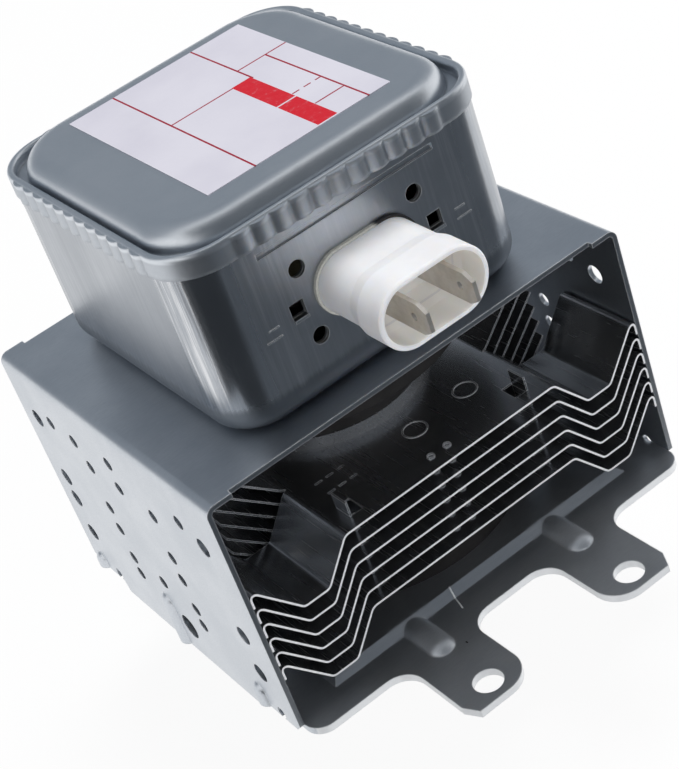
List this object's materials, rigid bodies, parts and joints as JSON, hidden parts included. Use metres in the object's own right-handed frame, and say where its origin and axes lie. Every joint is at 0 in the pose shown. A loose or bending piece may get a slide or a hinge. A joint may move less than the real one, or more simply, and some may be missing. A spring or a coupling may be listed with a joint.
{
  "type": "magnetron",
  "caption": "Cooking-oven magnetron: finned anode between ring magnets in a perforated steel yoke, filter can with oval plug on top, eared base plate and antenna below.",
  "frame": {"origin": "on the antenna axis at the mounting plane, the underside of the four ears", "axes": "+Z along the antenna axis towards the filter box, -Y towards the oval plug, X across the side walls"},
  "size_m": [0.0972, 0.131, 0.1271],
  "materials": {
    "plated_sheet": "satin plated",
    "drawn_sheet": "satin, drawn",
    "lid_sheet": "satin plated",
    "ferrite": "matte",
    "copper": "satin",
    "dark_copper": "tarnished",
    "iron": "satin",
    "refractory": "matte",
    "ceramic": "matte",
    "bright_cap": "bright",
    "metal_mesh": "woven",
    "fin_sheet": "bright",
    "paper": "matte",
    "white_plastic": "satin",
    "gasket": "matte",
    "tinned": "dull",
    "epoxy": "gloss"
  },
  "bodies": {
    "root": {"yoke_frame": "plated_sheet", "base_plate": "plated_sheet", "upper_magnet": "ferrite", "lower_magnet": "ferrite", "anode_shell": "dark_copper", "anode_vanes": "copper", "strap_rings": "copper", "upper_pole_piece": "iron", "lower_pole_piece": "iron", "filament_coil": "refractory", "upper_end_shield": "refractory", "lower_end_shield": "refractory", "centre_lead": "refractory", "side_lead": "refractory", "cathode_sleeve": "iron", "stem_insulator": "ceramic", "antenna_sleeve": "iron", "antenna_insulator": "ceramic", "antenna_rod": "copper", "exhaust_tube": "copper", "antenna_cap": "bright_cap", "rf_gasket": "metal_mesh", "cooling_fin_1": "fin_sheet", "cooling_fin_2": "fin_sheet", "cooling_fin_3": "fin_sheet", "cooling_fin_4": "fin_sheet", "cooling_fin_5": "fin_sheet", "cooling_fin_6": "fin_sheet", "filter_box": "drawn_sheet", "filter_lid": "lid_sheet", "label": "paper", "connector_housing": "white_plastic", "connector_gasket": "gasket", "terminal_tabs": "tinned", "ground_plate": "plated_sheet", "capacitor_block": "epoxy", "choke_coil_left": "copper", "choke_coil_right": "copper", "ferrite_core_left": "ferrite", "ferrite_core_right": "ferrite"}
  },
  "joints": []
}
